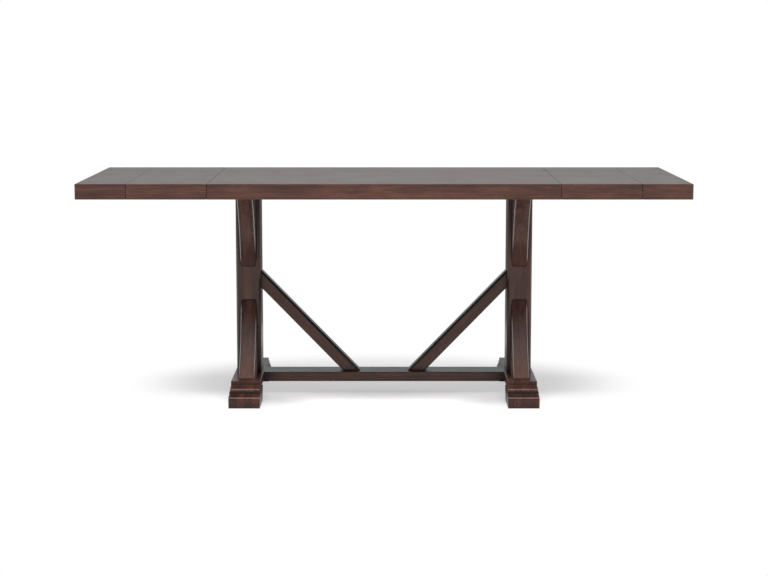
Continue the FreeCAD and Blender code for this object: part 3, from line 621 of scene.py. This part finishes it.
def nylon_material(name):
    """Dark moulded nylon: fine spark texture, scuffed paler on its rim."""
    made, tree, shader = new_material(name)
    where = object_place(tree)
    dark, pale, rubbed = NYLON_COLOURS
    spark = noise(tree, where, *NYLON_SPARK)
    edges = effect(tree, EDGES, {"Place": where, **NYLON_EDGE})
    colour = blend_colour(tree, noise(tree, where, *NYLON_CLOUDS), dark, pale)
    colour = blend_colour(tree, product(tree, edges["Mask"], NYLON_RUB), colour, rubbed)
    rough = maths(tree, "MULTIPLY_ADD", spark, *NYLON_ROUGHNESS)
    feed(tree, shader, colour, rough, spark, edges["Normal"], NYLON_STRENGTH, MARK_DEPTH)
    return made


def by_kind(table, node, usual=None):
    """Entry of a table for a board, found by the ending of its name."""
    return next((value for ending, value in table.items() if node.endswith(ending)), usual)


def board_turn(node):
    """Grain direction of a board, from what the piece is."""
    if node.endswith("_brace"):
        return UP_LEFT_BRACE if node.startswith("left") else UP_RIGHT_BRACE
    if node.endswith(("_post", "_bracket")):
        return ALONG_Z
    if node.endswith(("_cap_edge", "_bearer", "_foot_beam", "_foot_pad")):
        return ALONG_Y
    return ALONG_X


def stain_material(node, number):
    """Stained and lacquered finish of one board, as deep as stain goes into that kind of board."""
    depth = by_kind(STAIN_DEPTH, node, USUAL_DEPTH)
    return board_material(
        node + "_stain",
        board_turn(node),
        number,
        [tuple(share * part for share, part in zip(depth, colour)) for colour in STAINED],
        RUBBED_STAIN,
        strip=by_kind(STRIPS, node, USUAL_STRIP),
        tones=by_kind(TONES, node, USUAL_TONES),
        rub=by_kind(RUB, node, USUAL_RUB),
        hollow_shaded=by_kind(HOLLOW_SHADED, node, USUAL_HOLLOW_SHADE),
    )


def hardwood_material(node, number):
    """Bare hardwood of one board of the slides."""
    return board_material(
        node + "_hardwood",
        board_turn(node),
        number,
        HARDWOOD,
        RUBBED_HARDWOOD,
        roughness=HARDWOOD_ROUGHNESS,
        coat=0.0,
    )


def finish_tree(node):
    """Node tree of a board's finish."""
    return NODES[node].data.materials[0].node_tree


def paint_over(tree, mask, paint):
    """Lay a colour over a finish where the mask is 1."""
    colour = tree.nodes["Principled BSDF"].inputs["Base Color"]
    tree.links.new(blend_colour(tree, mask, colour.links[0].from_socket, paint), colour)


def darken(tree, mask, tint, dull=0.0):
    """Darker colour where the mask is 1, for painted shade and dark lines: the colour takes the tint, and
    the finish is no glossier than dull.
    """
    sockets = tree.nodes["Principled BSDF"].inputs
    colour = sockets["Base Color"].links[0].from_socket
    paint_over(tree, mask, blend_colour(tree, 1.0, colour, tint, "MULTIPLY"))
    rough = sockets["Roughness"].links[0].from_socket
    tree.links.new(maths(tree, "MAXIMUM", rough, product(tree, mask, dull)), sockets["Roughness"])


def inner_and_outer(node):
    """X of a piece's side that looks to the middle of the table, and of the one that looks away from it."""
    low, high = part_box(node)
    return (high[X], low[X]) if node.startswith("left") else (low[X], high[X])


def highlight_nose(node):
    """Painted highlight line along the nose of a foot, at its height."""
    tree = finish_tree(node)
    where = object_place(tree)
    line = {
        "Place": where,
        "Across": parts_of(tree, where)[Z],
        "Line": by_kind(NOSE_LINE, node),
        "Half": NOSE_HIGHLIGHT_HALF,
    }
    paint_over(tree, product(tree, effect(tree, HIGHLIGHT_LINES, line)["Mask"], NOSE_HIGHLIGHT), PAINTED_HIGHLIGHT)


def from_tip(tree, node):
    """Distance from the tip of a bracket, which is its end at the middle of the post."""
    low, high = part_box(node)
    return apart(tree, position(tree, Z), high[Z] if node.endswith("_lower_bracket") else low[Z])


def shade_bracket(node):
    """Bracket: painted shade on its sides, where the sides turn and at its tip, and a dark line along the
    joint with the post.
    """
    tree = finish_tree(node)
    low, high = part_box(node)
    side = facing(tree, X)
    darken(tree, ramp(tree, side, *BRACKET_SIDE), SIDE_SHADE_TINT, SIDE_DULL)
    darken(tree, band(tree, side, *BRACKET_TURN), DARK_TINT, DARK_DULL)
    at_tip = ramp(tree, from_tip(tree, node), *by_kind(TIP_REACH, node))
    darken(tree, at_tip, by_kind(TIP_TINT, node), by_kind(TIP_DULL, node))
    post_face = min(abs(low[Y]), abs(high[Y]))
    from_post = maths(tree, "SUBTRACT", maths(tree, "ABSOLUTE", position(tree, Y)), post_face)
    darken(tree, ramp(tree, from_post, *JOINT_LINE), DARK_TINT, DARK_DULL)


def highlight_bracket(node):
    """Painted highlight lines on a bracket's round-overs; they fade at the tip, on the inner side before it.
    """
    tree = finish_tree(node)
    away = from_tip(tree, node)
    outward = product(tree, parts_of(tree, normal(tree))[X], -1.0 if node.startswith("left") else 1.0)
    outer = product(tree, maths(tree, "GREATER_THAN", outward, 0.0), ramp(tree, away, *OUTER_FADE))
    faded = maths(tree, "MAXIMUM", outer, ramp(tree, away, *INNER_FADE))
    line = band(tree, facing(tree, X), *BRACKET_LINE)
    paint_over(tree, product(tree, line, faded, BRACKET_HIGHLIGHT), BRACKET_HIGHLIGHT_COLOUR)


def lighten_bracket_foot(node):
    """Painted light: a lower bracket made paler towards its foot."""
    tree = finish_tree(node)
    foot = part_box(node)[0][Z]
    low_down = span(tree, position(tree, Z), foot + FOOT_LIGHT_HEIGHT, foot)
    paint_over(tree, maths(tree, "POWER", low_down, FOOT_LIGHT_POWER), FOOT_LIGHT_COLOUR)


def shade_top(node):
    """Painted shade on the upper face of a board of the top, darker than on edges and underside."""
    tree = finish_tree(node)
    darken(tree, ramp(tree, parts_of(tree, normal(tree))[Z], *TOP_FACE), TOP_SHADE_TINT)


def darken_seams(node):
    """Dark matt line where the sections of the top meet."""
    tree = finish_tree(node)
    across = maths(tree, "ABSOLUTE", position(tree, X))
    mask = 0.0
    for panel in ("centre_panel", "right_leaf_panel"):
        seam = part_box(panel)[1][X]
        mask = maths(tree, "ADD", mask, ramp(tree, apart(tree, across, seam), *SEAM_LINE))
    darken(tree, mask, SEAM_TINT, SEAM_DULL)


def shade_arris(node):
    """Painted shade along the upper and the lower arris of an edge strip."""
    tree = finish_tree(node)
    low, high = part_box(node)
    height = position(tree, Z)
    from_top = maths(tree, "SUBTRACT", high[Z], height)
    from_arris = maths(tree, "MINIMUM", from_top, maths(tree, "SUBTRACT", height, low[Z]))
    upright = ramp(tree, facing(tree, Z), *UPRIGHT_FACE)
    darken(tree, product(tree, ramp(tree, from_arris, *ARRIS_BAND), upright), ARRIS_SHADE_TINT)


def shade_brace(node):
    """Painted shade in a brace's upper round-over, between front and upper side, thinner at its foot."""
    tree = finish_tree(node)
    lean = 1.0 if node.startswith("left") else -1.0
    upper_side = (lean * math.sin(BRACE_SLOPE), 0.0, math.cos(BRACE_SLOPE))
    turned = band(tree, vectors(tree, "DOT_PRODUCT", normal(tree), upper_side), *BRACE_TURN)
    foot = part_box("stretcher")[1][Z]
    thinned = span(tree, position(tree, Z), foot, foot + BRACE_FOOT_FADE, BRACE_LEAST)
    darken(tree, product(tree, turned, thinned), BRACE_SHADE_TINT, DARK_DULL)


def highlight_corner(node):
    """Painted highlight line down the outer corners of a post."""
    tree = finish_tree(node)
    outer = inner_and_outer(node)[1]
    line = ramp(tree, apart(tree, position(tree, X), outer), *CORNER_HIGHLIGHT_BAND)
    off_side = ramp(tree, facing(tree, Y), *OFF_SIDE)
    paint_over(tree, product(tree, line, off_side, CORNER_HIGHLIGHT), PAINTED_HIGHLIGHT)


def shade_corner(node):
    """Painted shade on the inner corners of a post beside its brace, thinner below."""
    tree = finish_tree(node)
    inner = inner_and_outer(node)[0]
    brace_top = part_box(node.replace("_post", "_brace"))[1][Z]
    line = ramp(tree, apart(tree, position(tree, X), inner), *CORNER_REACH)
    off_side = ramp(tree, facing(tree, Y), *OFF_SIDE)
    down = maths(tree, "SUBTRACT", brace_top, position(tree, Z))
    run = product(tree, ramp(tree, down, *CORNER_START), span(tree, down, *CORNER_THIN, 1.0, CORNER_LEAST))
    darken(tree, product(tree, line, off_side, run), CORNER_SHADE_TINT, CORNER_DULL)


def shade_ends(node):
    """Painted shade on the stretcher towards its ends, where the feet shade it."""
    tree = finish_tree(node)
    foot = inner_and_outer("right_foot_beam")[0]
    at_end = ramp(tree, maths(tree, "ABSOLUTE", position(tree, X)), foot - END_SHADE_REACH, foot)
    upright = ramp(tree, facing(tree, Z), *UPRIGHT_FACE)
    darken(tree, product(tree, at_end, upright), END_SHADE_TINT)


# Painted light, shade and highlights and dark lines of each kind of board, in the order in which they are
# laid on
PAINTED_LIGHT_AND_SHADE = (
    ("_bracket", shade_bracket),
    ("_bracket", highlight_bracket),
    ("_lower_bracket", lighten_bracket_foot),
    (("_foot_pad", "_foot_beam"), highlight_nose),
    (("_edge", "_panel"), shade_top),
    (("_edge", "_panel"), darken_seams),
    ("_edge", shade_arris),
    ("_brace", shade_brace),
    ("_post", highlight_corner),
    ("_post", shade_corner),
    ("stretcher", shade_ends),
)


def dress(node, material):
    """Give a CAD node its finish."""
    slots = NODES[node].data.materials
    slots.clear()
    slots.append(material)


STEEL = steel_material("zinc_steel")
NYLON = nylon_material("glide_nylon")
FINISH_OF = {part["node"]: part["material_slot"] for part in frame["record"]["subparts"]}
for number, node in enumerate(sorted(NODES)):
    slot = FINISH_OF[node]
    if slot == "steel":
        dress(node, STEEL)
    elif slot == "nylon":
        dress(node, NYLON)
    elif slot == "plain_hardwood":
        dress(node, hardwood_material(node, number))
    else:
        dress(node, stain_material(node, number))
        for ending, paint_on in PAINTED_LIGHT_AND_SHADE:
            if node.endswith(ending):
                paint_on(node)


def rings_at(radius, height, turn):
    """Rings of points about Z, with a radius and a height for each ring or for each point."""
    x = radius * np.cos(turn)
    y = radius * np.sin(turn)
    return np.stack([x, y, np.broadcast_to(height, x.shape)], axis=2)


def screw_surface(length):
    """Rings of one screw that stands on its head at the origin, from the middle of the head to the point.

    Head: a flat face with a rounded rim; the cross recess is pushed up where the smaller of |x| and |y| is
    within the arm's half width and the larger within its length. Thread: radius = core + ridge, with the
    ridge a triangle wave of (height / pitch - turn); near the point both shrink with what is left.
    """
    turn = 2.0 * np.pi * np.arange(SCREW_SIDES) / SCREW_SIDES
    face = np.array(FACE_RINGS)[:, None]
    x = np.abs(face * np.cos(turn))
    y = np.abs(face * np.sin(turn))
    within = np.clip((RECESS_HALF + RECESS_SLOPE - np.minimum(x, y)) / RECESS_SLOPE, 0.0, 1.0)
    within = within * np.clip((RECESS_ARM + RECESS_SLOPE - np.maximum(x, y)) / RECESS_SLOPE, 0.0, 1.0)
    rim_angle = np.linspace(0.0, np.pi / 2, RIM_STEPS)
    rim = HEAD_RADIUS - RIM_RADIUS * (1.0 - np.sin(rim_angle))
    rim_rise = RIM_RADIUS * (1.0 - np.cos(rim_angle))
    radius = np.concatenate([rim, [HEAD_RADIUS, THREAD_RADIUS, THREAD_RADIUS]])[:, None]
    rise = np.concatenate([rim_rise, [HEAD_HEIGHT, HEAD_HEIGHT, SHANK_LENGTH]])[:, None]
    steps = int(STEPS_PER_TURN * (length - SHANK_LENGTH) / PITCH)
    height = np.linspace(SHANK_LENGTH + THREAD_RUN_IN, length - POINT_GAP, steps)[:, None]
    phase = np.mod(height / PITCH - turn / (2.0 * np.pi), 1.0)
    ridge = np.clip(1.0 - RIDGE_SLOPE * np.abs(phase - 0.5), 0.0, 1.0)
    left = np.clip((length - height) / POINT_LENGTH, 0.0, 1.0)
    reach = left * (CORE_RADIUS + (THREAD_RADIUS - CORE_RADIUS) * ridge)
    head_face = rings_at(face, RECESS_DEPTH * within, turn)
    return np.concatenate([head_face, rings_at(radius, rise, turn), rings_at(reach, height, turn)])


def make_screws(node, body):
    """Detailed screws in the places of a node's plain ones: each plain screw's point gives its x and y."""
    mesh = NODES[node].data
    corners = np.empty(3 * len(mesh.vertices), np.float32)
    mesh.vertices.foreach_get("co", corners)
    corners = corners.reshape(-1, 3).astype(float)
    low = corners[:, Z].min()
    high = corners[:, Z].max()
    tips = corners[corners[:, Z] > high - TIP_TOLERANCE, :Z]
    places = np.unique(np.round(tips, PLACE_DIGITS), axis=0)
    rings = screw_surface(high - low)
    count = len(rings)
    points = np.concatenate([rings.reshape(-1, 3), [[0.0, 0.0, RECESS_DEPTH], [0.0, 0.0, high - low]]])
    ring = SCREW_SIDES * np.arange(count - 1)[:, None]
    side = np.arange(SCREW_SIDES)
    after = (side + 1) % SCREW_SIDES
    beyond = ring + SCREW_SIDES
    walls = np.stack([ring + side, ring + after, beyond + after, beyond + side], axis=2).reshape(-1, 4)
    last = SCREW_SIDES * (count - 1)
    middle = SCREW_SIDES * count
    caps = np.concatenate([
        np.stack([np.full(SCREW_SIDES, middle), after, side], axis=1),
        np.stack([np.full(SCREW_SIDES, middle + 1), last + side, last + after], axis=1),
    ])
    offset = np.concatenate([places, np.full((len(places), 1), low)], axis=1)
    shift = len(points) * np.arange(len(places))[:, None, None]
    made = bpy.data.meshes.new(node + "_threaded")
    made.from_pydata(
        (offset[:, None] + points).reshape(-1, 3).tolist(),
        [],
        (shift + walls).reshape(-1, 4).tolist() + (shift + caps).reshape(-1, 3).tolist(),
    )
    made.shade_smooth()
    made.set_sharp_from_angle(angle=SHARP_ANGLE)
    made.materials.append(STEEL)
    piece = bpy.data.objects.new(node + "_threaded", made)
    bpy.context.scene.collection.objects.link(piece)
    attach(piece, body)
    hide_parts(node)


for screws, carrier in SCREW_BODIES.items():
    make_screws(screws, carrier)


def from_middle(tree, where, middle, reach):
    """Distance from the middle of an oval: 1 at its reach."""
    return vectors(tree, "LENGTH", vectors(tree, "DIVIDE", vectors(tree, "SUBTRACT", where, middle), reach))


def floor_material():
    """Pale paint that keeps the table's shadow, with painted shadow pools by the feet and in the middle, and
    turns to plain white away from it; clear from below.
    """
    made = bpy.data.materials.new("pale_floor")
    made.use_nodes = True
    tree = made.node_tree
    tree.nodes.clear()
    where = object_place(tree)
    far = ramp(tree, from_middle(tree, where, SHADOW_MIDDLE, SHADOW_REACH), *SHADOW_FADE)
    rays = place(tree, "ShaderNodeLightPath").outputs
    camera = rays["Is Camera Ray"]
    x, y, _ = parts_of(tree, where)
    folded = place(tree, "ShaderNodeCombineXYZ", {0: maths(tree, "ABSOLUTE", x), 1: y}).outputs[0]
    lifted = product(tree, camera, FLOOR_LIFT)
    # Painted shadow: the camera's lift is less in pools by the feet and in front of the middle
    for middle, reach, depth in (FOOT_SHADOW_POOL, MIDDLE_SHADOW_POOL):
        painted_shadow = product(tree, ramp(tree, from_middle(tree, folded, middle, reach), 1.0, 0.0), depth)
        lifted = product(tree, lifted, maths(tree, "SUBTRACT", 1.0, painted_shadow))
    short = maths(tree, "LESS_THAN", rays["Ray Length"], UNDER_REACH)
    under = product(tree, rays["Is Diffuse Ray"], short, UNDER_GLOW)
    glow = {"Color": WHITE, "Strength": maths(tree, "ADD", lifted, under)}
    lift = place(tree, "ShaderNodeEmission", glow).outputs[0]
    paint = place(tree, "ShaderNodeBsdfDiffuse", {"Color": FLOOR_PAINT}).outputs[0]
    near = place(tree, "ShaderNodeAddShader", {0: paint, 1: lift}).outputs[0]
    white = place(tree, "ShaderNodeEmission", {"Color": WHITE, "Strength": 1.0}).outputs[0]
    both = place(tree, "ShaderNodeMixShader", {0: product(tree, far, camera), 1: near, 2: white}).outputs[0]
    below = place(tree, "ShaderNodeNewGeometry").outputs["Backfacing"]
    clear = place(tree, "ShaderNodeBsdfTransparent").outputs[0]
    seen = place(tree, "ShaderNodeMixShader", {0: below, 1: both, 2: clear}).outputs[0]
    place(tree, "ShaderNodeOutputMaterial", {"Surface": seen})
    return made


def make_floor():
    """Round floor under the table."""
    turn = np.linspace(0.0, 2.0 * np.pi, FLOOR_SIDES, endpoint=False)
    rim = np.stack([np.cos(turn), np.sin(turn)], axis=1) * FLOOR_RADIUS
    mesh = bpy.data.meshes.new("floor")
    mesh.from_pydata([(x, y, FLOOR_HEIGHT) for x, y in rim.tolist()], [], [tuple(range(FLOOR_SIDES))])
    mesh.materials.append(floor_material())
    floor = bpy.data.objects.new("floor", mesh)
    bpy.context.scene.collection.objects.link(floor)


def make_world():
    """White for the camera; reflections see a cool back wall, dim sides with a bright strip, a ceiling."""
    world = bpy.data.worlds.new("studio")
    bpy.context.scene.world = world
    world.use_nodes = True
    tree = world.node_tree
    tree.nodes.clear()
    way = parts_of(tree, place(tree, "ShaderNodeTexCoord").outputs["Generated"])

    def turned(axis, ends):
        return span(tree, way[axis], *ends)

    back = blend_colour(tree, turned(Z, BACK_WALL_Z), BACK_FLOOR, BACK_WALL)
    room = blend_colour(tree, product(tree, turned(Y, BACK_Y), turned(Z, BACK_Z)), SIDE_WALL, back)
    strip = product(tree, turned(Y, STRIP_FRONT_Y), turned(Y, STRIP_BACK_Y), turned(Z, STRIP_Z))
    room = blend_colour(tree, strip, room, SIDE_STRIP)
    room = blend_colour(tree, turned(Y, FRONT_Y), room, FRONT_WALL)
    front_floor = product(tree, turned(Y, FRONT_Y), turned(Z, FRONT_FLOOR_Z))
    room = blend_colour(tree, front_floor, room, FRONT_FLOOR)
    room = blend_colour(tree, product(tree, turned(Z, CEILING_Z), turned(Y, CEILING_Y)), room, CEILING)
    rays = place(tree, "ShaderNodeLightPath").outputs
    glossy = maths(tree, "MAXIMUM", rays["Is Glossy Ray"], rays["Is Transmission Ray"])
    ambient = blend_colour(tree, turned(Y, AMBIENT_Y), AMBIENT_BACK, AMBIENT_FRONT)
    level = blend_colour(tree, glossy, ambient, room)
    level = blend_colour(tree, rays["Is Camera Ray"], level, WHITE)
    shade = place(tree, "ShaderNodeBackground", {"Color": level, "Strength": 1.0}).outputs[0]
    place(tree, "ShaderNodeOutputWorld", {"Surface": shade})


def make_softbox(name, at, aim, size, power):
    """Rectangular area lamp turned to look at a point."""
    lamp = bpy.data.lights.new(name, "AREA")
    lamp.shape = "RECTANGLE"
    lamp.size, lamp.size_y = size
    lamp.energy = power
    holder = bpy.data.objects.new(name, lamp)
    bpy.context.scene.collection.objects.link(holder)
    holder.location = at
    holder.rotation_euler = (Vector(aim) - Vector(at)).to_track_quat("-Z", "Y").to_euler()
    holder.visible_glossy = False


def make_camera():
    """Camera in front of the table."""
    lens = bpy.data.cameras.new("camera")
    lens.lens = CAMERA_LENS
    lens.sensor_width = CAMERA_SENSOR
    holder = bpy.data.objects.new("camera", lens)
    bpy.context.scene.collection.objects.link(holder)
    holder.location = CAMERA_PLACE
    holder.rotation_euler = CAMERA_TURN
    bpy.context.scene.camera = holder


make_floor()
make_world()
for softbox, setting in SOFTBOXES.items():
    make_softbox(softbox, *setting)
make_camera()
bpy.context.scene.view_settings.view_transform = "Standard"
